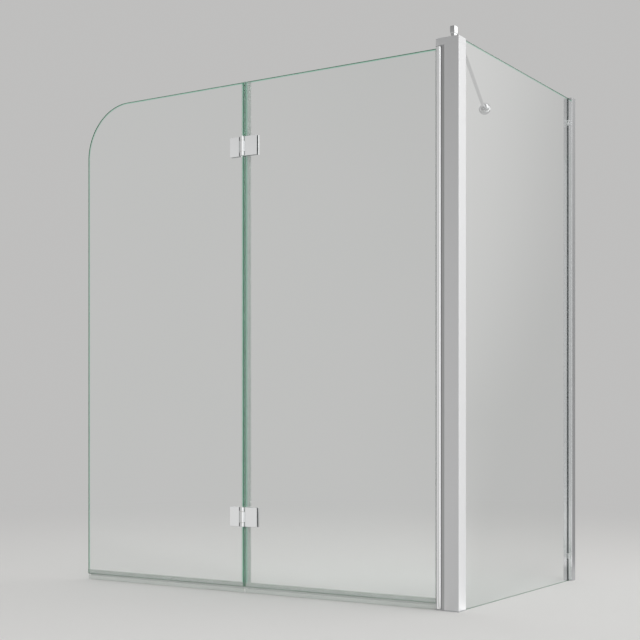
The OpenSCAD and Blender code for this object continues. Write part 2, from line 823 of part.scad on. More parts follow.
// Domed cover cup over the bracket's base
module bracket_cup() color("silver") on_bracket() {
    dome = cup_depth - cup_rim;
    rotate_extrude() difference() {
        union() {
            square([cup_r, cup_rim]);
            translate([cup_r - dome, cup_rim]) intersection() {
                circle(dome);
                square(dome);
            }
            translate([0, cup_rim]) square([cup_r - dome, dome]);
        }
        union() {
            translate([-cut, -cut]) square([cup_r - cup_t + cut, cup_rim + cut]);
            translate([cup_r - dome, cup_rim]) intersection() {
                circle(dome - cup_t);
                square(dome);
            }
            translate([-cut, cup_rim - cut])
                square([cup_r - dome + cut, dome - cup_t + cut]);
        }
        translate([-cut, 0]) square([boss_r + seat + cut, cup_depth + cut]);
    }
}

// Seals

// Clear seal under a folding pane: a grip on the glass, a drip lip and a straight lip
module bottom_seal(x0, x1) {
    floor_z = pane_lift - seat;
    base = floor_z - seal_floor;
    top = floor_z + seal_grip;
    inside = glass_t / 2 + seat;
    outside = inside + seal_t;
    translate([x0, pane_y, 0]) rotate([90, 0, 90]) linear_extrude(x1 - x0) polygon([
        [-outside, base], [-outside, top], [-inside, top], [-inside, floor_z],
        [inside, floor_z], [inside, top], [outside, top], [outside, base + drip_top],
        [outside + drip_reach, base - drip_reach],
        [outside + drip_reach - drip_tip[0], base - drip_reach - drip_tip[1]],
        [outside - drip_root, base], [seal_t / 2, base], [seal_t / 2, sill_gap],
        [-seal_t / 2, sill_gap], [-seal_t / 2, base]]);
}

module inner_bottom_seal() color("azure") bottom_seal(inner_left, gasket_left - slide_gap);

module outer_bottom_seal() color("azure") bottom_seal(free_x, outer_right);

// Clear seal on the inner pane's free edge, cut away round the hinges
module fold_seal() color("azure") {
    web_left = inner_left - seat - seal_t;
    leg_in = glass_t / 2 + seat;
    hinge_cut = hinge_h / 2 + hinge_clear;
    low = pane_lift + seal_grip + seal_end_gap;
    difference() {
        translate([0, 0, low]) linear_extrude(pane_top - low) {
            translate([web_left, pane_y - leg_in - seal_t])
                square([seal_t, 2 * (leg_in + seal_t)]);
            for (y = [pane_y - leg_in - seal_t, pane_y + leg_in])
                translate([web_left, y]) square([fold_grip + seal_t + seat, seal_t]);
            translate([outer_right - fold_cover, pane_y + glass_t / 2 + slide_gap])
                square([web_left - outer_right + fold_cover + seal_t, seal_t]);
        }
        for (z = hinge_levels)
            box([outer_right - 2 * fold_cover, pane_y - 2 * glass_t, z - hinge_cut],
                [inner_left + 2 * fold_grip, pane_y + 2 * glass_t, z + hinge_cut]);
    }
}

// Hinges

module knuckle(h) {
    bevelled_rod(barrel_r, h, knuckle_chamfer);
}

// Leaf on the inner pane: plate, middle knuckle and the web between them
module inner_leaf(z) color("gainsboro") difference() {
    union() {
        bevelled_box([inner_plate_left, leaf_front, z - hinge_h / 2],
            [inner_plate_right, leaf_back, z + hinge_h / 2], plate_chamfer);
        box([barrel_x, leaf_front + inner_web_setback, z - knuckle_h / 2],
            [inner_plate_left + web_overlap, leaf_back, z + knuckle_h / 2]);
        translate([barrel_x, barrel_y, z - knuckle_h / 2]) knuckle(knuckle_h);
    }
    translate([barrel_x, barrel_y, z - hinge_h])
        cylinder(r = hinge_bush_r, h = 2 * hinge_h);
    leaf_threads(inner_screw_x, z);
}

// Leaf on the outer pane: plate, two end knuckles and their thin webs
module outer_leaf(z) color("gainsboro") difference() {
    union() {
        bevelled_box([outer_plate_left, leaf_front, z - hinge_h / 2],
            [outer_plate_right, leaf_back, z + hinge_h / 2], plate_chamfer);
        for (low = [z - hinge_h / 2, z + hinge_h / 2 - end_knuckle_h]) {
            box([outer_plate_right - web_overlap, leaf_back - outer_web_t,
                low + knuckle_chamfer],
                [barrel_x, leaf_back, low + end_knuckle_h - knuckle_chamfer]);
            translate([barrel_x, barrel_y, low]) knuckle(end_knuckle_h);
        }
    }
    translate([barrel_x, barrel_y, z - hinge_h])
        cylinder(r = hinge_pin_r, h = 2 * hinge_h);
    leaf_threads(outer_screw_x, z);
}

// Blind threads for the two screws that come through the glass
module leaf_threads(x, z) {
    for (s = [-1, 1])
        y_rod(x, leaf_back - screw_bite, leaf_back + cut, z + s * hinge_screw_dz,
            hinge_screw_r);
}

// Counter plate inside the glass, with its countersunk screw holes
module hinge_cover(x0, x1, screw_x, z) color("gainsboro") difference() {
    bevelled_box([x0, cover_front, z - hinge_h / 2], [x1, cover_back, z + hinge_h / 2],
        plate_chamfer);
    for (s = [-1, 1]) translate([screw_x, cover_back, z + s * hinge_screw_dz])
        rotate([-90, 0, 0]) countersink(hinge_screw_r, screw_head_r, plate_t + cut);
}

module upper_inner_hinge_leaf() inner_leaf(hinge_levels[0]);
module lower_inner_hinge_leaf() inner_leaf(hinge_levels[1]);
module upper_outer_hinge_leaf() outer_leaf(hinge_levels[0]);
module lower_outer_hinge_leaf() outer_leaf(hinge_levels[1]);
module upper_inner_hinge_cover()
    hinge_cover(inner_plate_left, inner_plate_right, inner_screw_x, hinge_levels[0]);
module lower_inner_hinge_cover()
    hinge_cover(inner_plate_left, inner_plate_right, inner_screw_x, hinge_levels[1]);
module upper_outer_hinge_cover()
    hinge_cover(outer_plate_left, outer_plate_right, outer_screw_x, hinge_levels[0]);
module lower_outer_hinge_cover()
    hinge_cover(outer_plate_left, outer_plate_right, outer_screw_x, hinge_levels[1]);

// Thin pads on both faces of the glass under the plates
module hinge_pads(x0, x1, screw_x) color("dimgray") for (z = hinge_levels) difference() {
    for (y = [leaf_back, back_y])
        box([x0 + pad_inset, y, z - hinge_h / 2 + pad_inset],
            [x1 - pad_inset, y + pad_t, z + hinge_h / 2 - pad_inset]);
    for (s = [-1, 1])
        y_rod(screw_x, leaf_back - cut, back_y + pad_t + cut, z + s * hinge_screw_dz,
            hinge_screw_r + seat);
}

// Sleeves that keep the screws off the glass
module hinge_sleeves(screw_x) color("whitesmoke")
    for (z = hinge_levels, s = [-1, 1])
        translate([screw_x, back_y - seat, z + s * hinge_screw_dz]) rotate([90, 0, 0])
            tube(glass_hole_r - sleeve_gap, hinge_screw_r + seat, glass_t - 2 * seat);

module hinge_screws(screw_x) color("gainsboro") for (z = hinge_levels, s = [-1, 1])
    translate([screw_x, cover_back, z + s * hinge_screw_dz]) rotate([-90, 0, 0])
        countersunk_screw(hinge_screw_r, screw_head_r,
            cover_back - leaf_back + screw_bite - slide_gap);

module inner_hinge_pads()
    hinge_pads(inner_left + slide_gap, inner_plate_right, inner_screw_x);
module outer_hinge_pads() hinge_pads(outer_plate_left, outer_plate_right, outer_screw_x);
module inner_hinge_sleeves() hinge_sleeves(inner_screw_x);
module outer_hinge_sleeves() hinge_sleeves(outer_screw_x);
module inner_hinge_screws() hinge_screws(inner_screw_x);
module outer_hinge_screws() hinge_screws(outer_screw_x);

// Flanged bushes in both ends of each middle knuckle
module hinge_bushes() color("ivory") for (z = hinge_levels, s = [0, 1])
    translate([barrel_x, barrel_y, z]) mirror([0, 0, s]) {
        translate([0, 0, knuckle_h / 2])
            tube(bush_head_r, hinge_pin_r + running_fit, bush_head_t);
        translate([0, 0, knuckle_h / 2 - hinge_bush_len])
            tube(hinge_bush_r - press_gap, hinge_pin_r + running_fit, hinge_bush_len);
    }

module hinge_pins() color("gainsboro") for (z = hinge_levels)
    translate([barrel_x, barrel_y, z - hinge_h / 2 - pin_overhang])
        bevelled_rod(hinge_pin_r, hinge_h + 2 * pin_overhang, pin_chamfer);

corner_post();
post_top_cap();
cap_screws();
post_foot();
foot_screws();
upper_pivot_bush();
lower_pivot_pin();
lower_thrust_washer();
side_glass();
post_glass_gaskets();
wall_channel();
wall_profile();
wall_profile_cap();
wall_glass_gaskets();
glass_wedges();
cross_screws();
cross_screw_covers();
stabiliser_block();
block_fixing_screw();
block_set_screw();
front_ball_end();
stabiliser_bar();
wall_ball_end();
bracket_base();
bracket_cup();
inner_glass();
pivot_profile();
upper_pivot_plug();
lower_pivot_plug();
plug_screws();
pivot_gaskets();
inner_bottom_seal();
fold_seal();
upper_inner_hinge_leaf();
upper_inner_hinge_cover();
lower_inner_hinge_leaf();
lower_inner_hinge_cover();
inner_hinge_pads();
inner_hinge_sleeves();
inner_hinge_screws();
hinge_bushes();
outer_glass();
outer_bottom_seal();
upper_outer_hinge_leaf();
upper_outer_hinge_cover();
lower_outer_hinge_leaf();
lower_outer_hinge_cover();
outer_hinge_pads();
outer_hinge_sleeves();
outer_hinge_screws();
hinge_pins();
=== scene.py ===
# %% [markdown]
# A corner bath screen in clear glass. Two folding panes hang on a square post, a fixed
# side pane stands at a right angle to them, and a bar braces the post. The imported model
# gives every piece its size and place. This lesson gives each surface its finish and models
# the pieces again that carry the look: the panes, the hinges, the cap and the bar.

import json
import math

import bmesh
import bpy
from mathutils import Matrix, Vector


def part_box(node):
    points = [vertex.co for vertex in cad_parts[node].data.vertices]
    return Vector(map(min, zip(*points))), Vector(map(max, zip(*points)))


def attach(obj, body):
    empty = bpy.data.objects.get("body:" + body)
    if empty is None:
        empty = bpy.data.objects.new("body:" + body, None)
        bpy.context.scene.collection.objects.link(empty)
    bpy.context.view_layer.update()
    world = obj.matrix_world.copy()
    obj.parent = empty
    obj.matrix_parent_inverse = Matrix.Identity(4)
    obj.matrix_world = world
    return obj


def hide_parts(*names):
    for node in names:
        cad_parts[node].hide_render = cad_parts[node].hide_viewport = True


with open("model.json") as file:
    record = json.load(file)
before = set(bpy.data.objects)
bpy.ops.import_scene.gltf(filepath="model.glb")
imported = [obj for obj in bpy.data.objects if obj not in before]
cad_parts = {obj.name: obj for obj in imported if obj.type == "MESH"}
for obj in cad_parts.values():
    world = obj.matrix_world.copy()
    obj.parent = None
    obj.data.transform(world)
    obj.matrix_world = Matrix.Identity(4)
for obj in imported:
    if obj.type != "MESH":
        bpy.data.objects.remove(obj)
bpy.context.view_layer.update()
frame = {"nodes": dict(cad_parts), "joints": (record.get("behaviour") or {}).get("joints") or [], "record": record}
nodes = frame["nodes"]
MM = 0.001
print("packed pieces:", len(nodes))

# %% [markdown]
# The photograph was taken level, from half a metre above the screen's foot and from the
# right-hand side. A level camera keeps every upright edge upright, and a shift lifts the
# picture instead of a tilt. The place, the turn and the focal length come from a fit to the
# straight edges of the panes.

# %% Camera
HORIZON_Y_PX = 419.98
IMAGE_PX = 640
FOCAL_PX = 1279.57
SENSOR_MM = 36.0
CAMERA_AT = (1.40148, -2.81407, 0.46627)
LEVEL_DEG = 90
CAMERA_TURN_DEG = 32.501
NEAREST_SEEN = 0.05

lens = bpy.data.cameras.new("camera")
lens.sensor_width = SENSOR_MM
lens.lens = FOCAL_PX / IMAGE_PX * SENSOR_MM
lens.shift_y = (HORIZON_Y_PX - IMAGE_PX / 2) / IMAGE_PX
lens.clip_start = NEAREST_SEEN
camera = bpy.data.objects.new("camera", lens)
camera.location = CAMERA_AT
camera.rotation_euler = (math.radians(LEVEL_DEG), 0, math.radians(CAMERA_TURN_DEG))
bpy.context.scene.collection.objects.link(camera)
bpy.context.scene.camera = camera
bpy.context.scene.view_settings.view_transform = "Standard"
print(f"lens {lens.lens:.2f} mm, shift {lens.shift_y:.4f}")

# %% [markdown]
# Every finish below is a Principled shader with a little noise in its roughness, its colour
# or its surface. A picture of the surface could do that too, but it would need a place on
# every piece and would blur close by. The noise reads Object coordinates, so it is carved
# into the piece like grain and moves with it.

# %% Start a finish
def principled(material):
    """The Principled shader of a material."""
    return material.node_tree.nodes["Principled BSDF"]


def new_finish(name, color, metallic=0.0):
    """A material of one colour."""
    material = bpy.data.materials.new(name)
    material.use_nodes = True
    principled(material).inputs["Base Color"].default_value = (*color, 1.0)
    principled(material).inputs["Metallic"].default_value = metallic
    return material


def grain(material, per_metre, upwards=None, detail=3.0):
    """A noise with a count of grains per metre, and another count upwards if it is given."""
    tree = material.node_tree
    place = tree.nodes.new("ShaderNodeTexCoord")
    stretch = tree.nodes.new("ShaderNodeMapping")
    stretch.inputs["Scale"].default_value = (per_metre, per_metre, upwards or per_metre)
    noise = tree.nodes.new("ShaderNodeTexNoise")
    noise.inputs["Scale"].default_value = 1.0
    noise.inputs["Detail"].default_value = detail
    tree.links.new(place.outputs["Object"], stretch.inputs["Vector"])
    tree.links.new(stretch.outputs["Vector"], noise.inputs["Vector"])
    return noise.outputs["Fac"]


print("a finish can be started")

# %% [markdown]
# A noise seldom leaves the range from 0.3 to 0.7. The next three helpers stretch that range
# over two values of roughness or over two colours, or let the noise stand off the surface.

# %% Let a noise vary a finish
NOISE_LOW, NOISE_HIGH = 0.3, 0.7


def vary_roughness(material, noise, low, high):
    """Spreads the roughness between two values."""
    tree = material.node_tree
    span = tree.nodes.new("ShaderNodeMapRange")
    span.inputs["From Min"].default_value = NOISE_LOW
    span.inputs["From Max"].default_value = NOISE_HIGH
    span.inputs["To Min"].default_value = low
    span.inputs["To Max"].default_value = high
    tree.links.new(noise, span.inputs["Value"])
    tree.links.new(span.outputs["Result"], principled(material).inputs["Roughness"])


def vary_color(material, value, first, second):
    """Runs the colour from the first one to the second one as the value rises."""
    tree = material.node_tree
    ramp = tree.nodes.new("ShaderNodeValToRGB")
    start, stop = ramp.color_ramp.elements
    start.position = NOISE_LOW
    start.color = (*first, 1.0)
    stop.position = NOISE_HIGH
    stop.color = (*second, 1.0)
    tree.links.new(value, ramp.inputs["Fac"])
    tree.links.new(ramp.outputs["Color"], principled(material).inputs["Base Color"])


def raise_grain(material, noise, height):
    """Lets a noise stand off the surface by a height in metres."""
    tree = material.node_tree
    bump = tree.nodes.new("ShaderNodeBump")
    bump.inputs["Strength"].default_value = 1.0
    bump.inputs["Distance"].default_value = height
    tree.links.new(noise, bump.inputs["Height"])
    tree.links.new(bump.outputs["Normal"], principled(material).inputs["Normal"])


print("a noise can vary roughness, colour and relief")

# %% [markdown]
# Glass and clear plastic bend the light that goes through them. The light of a lamp seldom
# finds its way through such a surface, so the shadow of a pane would come out black. For
# shadow rays alone a clear material is therefore a tinted window that bends nothing.

# %% Clear finishes
def clear_finish(name, color, ior, clearness=1.0):
    """A polished material that light goes through, wholly or in part."""
    material = new_finish(name, color)
    shader = principled(material)
    shader.inputs["Roughness"].default_value = 0.0
    shader.inputs["Transmission Weight"].default_value = clearness
    shader.inputs["IOR"].default_value = ior
    return material


def let_lamps_through(material, tint):
    """Gives a clear material a tinted shadow instead of a black one."""
    tree = material.node_tree
    rays = tree.nodes.new("ShaderNodeLightPath")
    window = tree.nodes.new("ShaderNodeBsdfTransparent")
    window.inputs["Color"].default_value = (*tint, 1.0)
    either = tree.nodes.new("ShaderNodeMixShader")
    tree.links.new(rays.outputs["Is Shadow Ray"], either.inputs["Fac"])
    tree.links.new(principled(material).outputs["BSDF"], either.inputs[1])
    tree.links.new(window.outputs["BSDF"], either.inputs[2])
    tree.links.new(either.outputs["Shader"], tree.nodes["Material Output"].inputs["Surface"])


print("clear finishes can be made")

# %% [markdown]
# Tempered float glass is almost clear through its face and sea green along its edge,
# because light that leaves at the edge has travelled far inside the pane. A volume could
# work that out, but it needs many samples. So the pane has three finishes: a clear one that
# refracts on its faces, a deep green one on its edges, and a paler green painted on a narrow
# ring of the face beside each edge, as a painted glow of the edge's light shining through.

# %% Glass finishes
GLASS_IOR = 1.5
GLASS_WAVE = 0.03 * MM
CLEAR, CLEARER = (0.975, 0.991, 0.984), (0.985, 0.995, 0.991)
RING_GREEN, RING_PALE = (0.50, 0.88, 0.70), (0.60, 0.92, 0.78)
EDGE_DEEP, EDGE_GREEN = (0.005, 0.16, 0.07), (0.02, 0.23, 0.11)

clear_glass = clear_finish("clear_glass", CLEAR, GLASS_IOR)
wave = grain(clear_glass, 3.0, detail=1.0)
vary_color(clear_glass, wave, CLEAR, CLEARER)
raise_grain(clear_glass, wave, GLASS_WAVE)
let_lamps_through(clear_glass, (0.93, 0.965, 0.95))

# The ring's paler green is a painted glow of the edge's light shining through the face.
rim_painted_glow = clear_finish("rim_painted_glow", RING_GREEN, GLASS_IOR)
glow = grain(rim_painted_glow, 40.0, detail=1.0)
vary_color(rim_painted_glow, glow, RING_GREEN, RING_PALE)
let_lamps_through(rim_painted_glow, (0.60, 0.85, 0.75))

green_edge = new_finish("green_edge", EDGE_DEEP)
haze = grain(green_edge, 90.0, upwards=14.0)
vary_color(green_edge, haze, EDGE_DEEP, EDGE_GREEN)
vary_roughness(green_edge, haze, 0.18, 0.34)
print("glass finishes made")

# %% [markdown]
# The post, the pivot profile and the wall profile are aluminium extrusions. A die leaves
# faint lines along their length, which show as a soft streak in the reflection. An
# anisotropic shader could make the streak but not the lines. A noise that is stretched along
# Z draws them, fine across the piece and long along it.

# %% Extruded aluminium
BRUSHED = (0.72, 0.725, 0.735)
BRUSHED_METALLIC = 0.85
DIE_LINE = 0.004 * MM


def extrusion(name, color, rough_low, rough_high, metallic=1.0):
    """Aluminium with the die's faint lines along Z."""
    material = new_finish(name, color, metallic)
    lines = grain(material, 900.0, upwards=1.5, detail=2.0)
    vary_roughness(material, lines, rough_low, rough_high)
    raise_grain(material, lines, DIE_LINE)
    return material


satin_post = extrusion("satin_post", BRUSHED, 0.34, 0.44, BRUSHED_METALLIC)
pivot_metal = extrusion("pivot_metal", (0.88, 0.89, 0.90), 0.10, 0.17)
bright_profile = extrusion("bright_profile", (0.80, 0.81, 0.825), 0.07, 0.13)
mill_aluminium = extrusion("mill_aluminium", (0.70, 0.71, 0.72), 0.34, 0.46)
print("extrusions made")

# %% [markdown]
# The recess beside the pivot has a painted shade: the post's colour is darker there. The
# post is one imported piece with one finish, so the finish itself tells the recess apart: it
# changes colour at a place along X.

# %% Painted shade in the recess of the post
RECESS_X = -22 * MM
RECESS_SHADE = (0.46, 0.465, 0.47)


def past_x(material, limit):
    """One where the piece lies beyond a limit along X, and zero before it."""
    tree = material.node_tree
    place = tree.nodes.new("ShaderNodeTexCoord")
    axes = tree.nodes.new("ShaderNodeSeparateXYZ")
    beyond = tree.nodes.new("ShaderNodeMath")
    beyond.operation = "GREATER_THAN"
    beyond.inputs[1].default_value = limit
    tree.links.new(place.outputs["Object"], axes.inputs["Vector"])
    tree.links.new(axes.outputs["X"], beyond.inputs[0])
    return beyond.outputs["Value"]


# Before RECESS_X the post takes the darker painted shade, and beyond it its own brushed colour.
vary_color(satin_post, past_x(satin_post, RECESS_X), RECESS_SHADE, BRUSHED)
print(f"the post is dull up to {RECESS_X / MM:.0f} mm")

# %% [markdown]
# The hinges and the block are chromed brass, the bar and its bracket are chromed steel with
# a darker tone, and all of them are polished like a mirror. Real chrome is never quite even:
# a wide, weak cloud in the roughness stands for the haze that polishing leaves. The groove
# between a plate and its knuckles is rough, and its dark colour is painted shade for the deep
# gap. The cap is a die casting with a finer grain.

# %% Chrome, casting and steel
CAST_GRAIN = 0.01 * MM

bright_chrome = new_finish("bright_chrome", (0.86, 0.87, 0.88), metallic=1.0)
vary_roughness(bright_chrome, grain(bright_chrome, 60.0), 0.035, 0.10)

# The groove's dark colour is painted shade; its high roughness is the groove's own dullness.
groove_painted_shade = new_finish("groove_painted_shade", (0.20, 0.20, 0.205), metallic=1.0)
vary_roughness(groove_painted_shade, grain(groove_painted_shade, 400.0), 0.42, 0.58)

bar_chrome = new_finish("bar_chrome", (0.60, 0.605, 0.615), metallic=1.0)
vary_roughness(bar_chrome, grain(bar_chrome, 80.0), 0.05, 0.12)

cast_cap = new_finish("cast_cap", (0.71, 0.715, 0.725), BRUSHED_METALLIC)
cast_grain = grain(cast_cap, 700.0)
vary_roughness(cast_cap, cast_grain, 0.36, 0.46)
raise_grain(cast_cap, cast_grain, CAST_GRAIN)

stainless = new_finish("stainless", (0.68, 0.675, 0.665), metallic=1.0)
vary_roughness(stainless, grain(stainless, 1400.0, upwards=200.0), 0.18, 0.34)
print("chrome, casting and steel made")

# %% [markdown]
# The seals are clear soft plastic, a little cloudy. The one between the folding panes lies
# on two green edges, and there it is painted a paler green: a painted glow of their light.
# The wedges in the wall profile are harder, and let less light through.

# %% Seals and wedges
SEAL_IOR, SEAL_CLEARNESS = 1.45, 0.85
WEDGE_IOR, WEDGE_CLEARNESS = 1.49, 0.25
CLOUDY, PAINTED_EDGE_GLOW = (0.825, 0.85, 0.835), (0.71, 0.86, 0.80)
EDGE_GLOW_X = -616 * MM


def soft_seal(name, tint):
    """Cloudy clear plastic with a tint."""
    material = clear_finish(name, tint, SEAL_IOR, SEAL_CLEARNESS)
    vary_roughness(material, grain(material, 500.0), 0.10, 0.22)
    let_lamps_through(material, tint)
    return material


clear_seal = soft_seal("clear_seal", CLOUDY)
# Before EDGE_GLOW_X the fold seal takes the painted green glow of the edges, beyond it its own cloudy colour.
seal_with_painted_glow = soft_seal("seal_with_painted_glow", PAINTED_EDGE_GLOW)
vary_color(seal_with_painted_glow, past_x(seal_with_painted_glow, EDGE_GLOW_X), PAINTED_EDGE_GLOW, CLOUDY)

clear_wedge = clear_finish("clear_wedge", (0.92, 0.94, 0.945), WEDGE_IOR, WEDGE_CLEARNESS)
vary_roughness(clear_wedge, grain(clear_wedge, 300.0), 0.08, 0.2)
print("seals and wedges made")

# %% [markdown]
# Bushes and sleeves are off-white bearing plastic, with a pearly sheen from moulding. The
# foot under the post is grey moulded plastic with a spark-eroded grain, and the gaskets are
# dark rubber. None of them lets light through, so a colour, a grain and a relief will do.

# %% Plastics and rubber
SPARK_GRAIN = 0.03 * MM
RUBBER_GRAIN = 0.02 * MM

bearing_plastic = new_finish("bearing_plastic", (0.88, 0.87, 0.82))
vary_roughness(bearing_plastic, grain(bearing_plastic, 250.0), 0.38, 0.52)

foot_plastic = new_finish("foot_plastic", (0.48, 0.49, 0.50))
spark = grain(foot_plastic, 1500.0)
vary_roughness(foot_plastic, spark, 0.42, 0.6)
raise_grain(foot_plastic, spark, SPARK_GRAIN)

soft_gasket = new_finish("soft_gasket", (0.12, 0.135, 0.14))
rubber = grain(soft_gasket, 1200.0)
vary_roughness(soft_gasket, rubber, 0.5, 0.7)
raise_grain(soft_gasket, rubber, RUBBER_GRAIN)
print("plastics and rubber made")

# %% [markdown]
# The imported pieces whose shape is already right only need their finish: the extrusions,
# the seals, the screws and the bushes. The record says which slot each of them takes. The
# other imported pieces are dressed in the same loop, and new ones take their place below.

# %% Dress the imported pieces
FINISHES = {
    "clear_glass": clear_glass, "satin_post": satin_post, "cast_cap": cast_cap,
    "pivot_metal": pivot_metal, "bright_profile": bright_profile,
    "mill_aluminium": mill_aluminium, "bright_chrome": bright_chrome,
    "bar_chrome": bar_chrome, "stainless": stainless, "clear_seal": clear_seal,
    "foot_plastic": foot_plastic, "bearing_plastic": bearing_plastic,
    "clear_wedge": clear_wedge, "soft_gasket": soft_gasket,
}

slot_of = {row["node"]: row["material_slot"] for row in frame["record"]["subparts"]}
for node, slot in slot_of.items():
    for place in nodes[node].material_slots:
        place.material = seal_with_painted_glow if node == "fold_seal" else FINISHES[slot]
print("dressed:", len(slot_of), "pieces in", len(FINISHES), "finishes")

# %% [markdown]
# New pieces start as a bmesh. A pane or a plate starts as a box between two corners, and a
# knuckle or a bore as a round rod between two points. A bevel then softens the edges, as
# polishing does, so that they catch the light.

# %% Boxes, rods and soft edges
ROUND_STEPS = 64
HOLE_STEPS = 48
SHARP_DEG = 30
EVEN_ROUND = 0.5


def box_mesh(low, high):
    """A box between two corners."""
    bm = bmesh.new()
    bmesh.ops.create_cube(bm, size=1.0)
    bmesh.ops.scale(bm, vec=Vector(high) - Vector(low), verts=bm.verts)
    bmesh.ops.translate(bm, vec=(Vector(high) + Vector(low)) / 2, verts=bm.verts)
    return bm


def rod_mesh(radius, start, end, steps=ROUND_STEPS):
    """A round rod between two points."""
    run = Vector(end) - Vector(start)
    turn = run.to_track_quat("Z", "Y").to_matrix().to_4x4()
    middle = Matrix.Translation((Vector(start) + Vector(end)) / 2)
    bm = bmesh.new()
    bmesh.ops.create_cone(bm, cap_ends=True, segments=steps, radius1=radius,
                          radius2=radius, depth=run.length, matrix=middle @ turn)
    return bm


def soften(bm, width, edges=None, segments=3):
    """Rounds edges: all the sharp ones, or those that are named."""
    if edges is None:
        sharp = math.radians(SHARP_DEG)
        edges = [e for e in bm.edges if e.calc_face_angle(0) > sharp]
    bmesh.ops.bevel(bm, geom=edges, offset=width, offset_type="OFFSET", segments=segments,
                    profile=EVEN_ROUND, affect="EDGES", clamp_overlap=True, material=-1)
    return bm


print("boxes and rods of", ROUND_STEPS, "steps can be made")

# %% [markdown]
# Some shapes are easier to join or cut than to bevel: a knuckle grows out of a plate, and a
# screw needs its countersink. A Boolean modifier does that, and the result is kept as the
# piece's mesh. A cutting tool reaches a little past the piece, so that no thin skin is left.

# %% Join and cut
OVERCUT = 1 * MM


def as_object(bm, name):
    """A bmesh as an object in the scene."""
    mesh = bpy.data.meshes.new(name)
    bm.to_mesh(mesh)
    bm.free()
    made = bpy.data.objects.new(name, mesh)
    bpy.context.scene.collection.objects.link(made)
    return made


def combine(made, others, operation):
    """Joins other meshes to an object, or cuts them out of it."""
    tools = [as_object(bm, "tool") for bm in others]
    for tool in tools:
        step = made.modifiers.new("step", "BOOLEAN")
        step.operation = operation
        step.solver = "EXACT"
        step.object = tool
    bpy.context.view_layer.update()
    graph = bpy.context.evaluated_depsgraph_get()
    result = bpy.data.meshes.new_from_object(made.evaluated_get(graph))
    made.modifiers.clear()
    made.data = result
    for tool in tools:
        bpy.data.objects.remove(tool)


print("a tool reaches", OVERCUT / MM, "mm past a piece")

# %% [markdown]
# A finished piece needs a finish, smooth shading that stops at its sharp edges, and a body
# to ride on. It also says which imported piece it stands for, so that one is no longer shown.
# Weighted normals keep a flat face flat beside its rounded edge.

# %% Put a piece in place
SMOOTH_DEG = 35


def place_piece(made, slot, body, *replaced, smooth_deg=SMOOTH_DEG):
    """Shades a piece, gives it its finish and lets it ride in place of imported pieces."""
    made.data.materials.clear()
    made.data.materials.append(FINISHES[slot])
    made.data.polygons.foreach_set("use_smooth", [True] * len(made.data.polygons))
    made.data.set_sharp_from_angle(angle=math.radians(smooth_deg))
    even = made.modifiers.new("even shading", "WEIGHTED_NORMAL")
    even.keep_sharp = True
    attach(made, body)
    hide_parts(*replaced)
    print(f"{made.name}: {len(made.data.polygons)} faces")


print("edges stay sharp from", SMOOTH_DEG, "degrees")

# %% [markdown]
# A pane is measured first. Its wide faces look along its thin direction. The hinge screws
# pass through it where the sleeves are, above and below the middle of each hinge leaf. The
# distance from the outline tells which part of the face belongs to the green ring.

# %% Measure a pane
X, Z = 0, 2
UP, ALONG, ACROSS = Vector((0, 0, 1)), Vector((1, 0, 0)), Vector((0, 1, 0))
FACING = 0.99
CORNER_RADIUS = 150 * MM
HINGE_HOLE_R = 4.5 * MM
HINGE_SCREW_DZ = 14 * MM


def is_wide(face, thin):
    """True for a face that looks along the thin direction of its pane."""
    return abs(face.normal.dot(thin)) > FACING


def middle_of(node, axis):
    """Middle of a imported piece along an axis."""
    low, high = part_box(node)
    return (low[axis] + high[axis]) / 2


def screw_holes(screw_x, front, back):
    """Tools that drill the four hinge holes through a pane."""
    levels = [middle_of(leaf, Z) for leaf in ("upper_inner_hinge_leaf", "lower_inner_hinge_leaf")]
    heights = [level + side * HINGE_SCREW_DZ for level in levels for side in (-1, 1)]
    return [rod_mesh(HINGE_HOLE_R, (screw_x, front - OVERCUT, z), (screw_x, back + OVERCUT, z),
                     steps=HOLE_STEPS) for z in heights]


def from_outline(point, low, high, round_corner):
    """Distance of a point on a pane from the pane's outline."""
    if round_corner:
        left = low.x + CORNER_RADIUS - point.x
        above = point.z - high.z + CORNER_RADIUS
        if left > 0 and above > 0:
            return CORNER_RADIUS - math.hypot(left, above)
    # The thin direction has no outline, and it is the only one shorter than the radius.
    return min(min(p - a, b - p) for p, a, b in zip(point, low, high) if b - a > CORNER_RADIUS)


outer_screw_x = middle_of("outer_hinge_sleeves", X)
inner_screw_x = middle_of("inner_hinge_sleeves", X)
print(f"hinge screws at x {outer_screw_x:.4f} and {inner_screw_x:.4f} m")

# %% [markdown]
# A pane is a box of glass 6 mm thick. On the outer pane one upper corner is ground to a
# radius of 150 mm: a bevel of one short edge makes it. Then the rim of both faces gets its
# polished arris, an inset draws the narrow ring beside it, and the holes for the hinge
# screws are drilled. Each wide face of the mesh takes the clear finish, and every other one
# the deep green. The ring takes the paler green of the painted glow, but for its lowest part,
# which meets the floor or lies in the bottom seal and stays clear.

# %% Panes
GLASS_ARRIS = 0.8 * MM
RIM_GLOW = 3 * MM
CORNER_STEPS = 48
PANE_SMOOTH_DEG = 20
ON_PLANE = 1e-6
CLEAR_FACE, EDGE_FACE, RING_FACE = 0, 1, 2


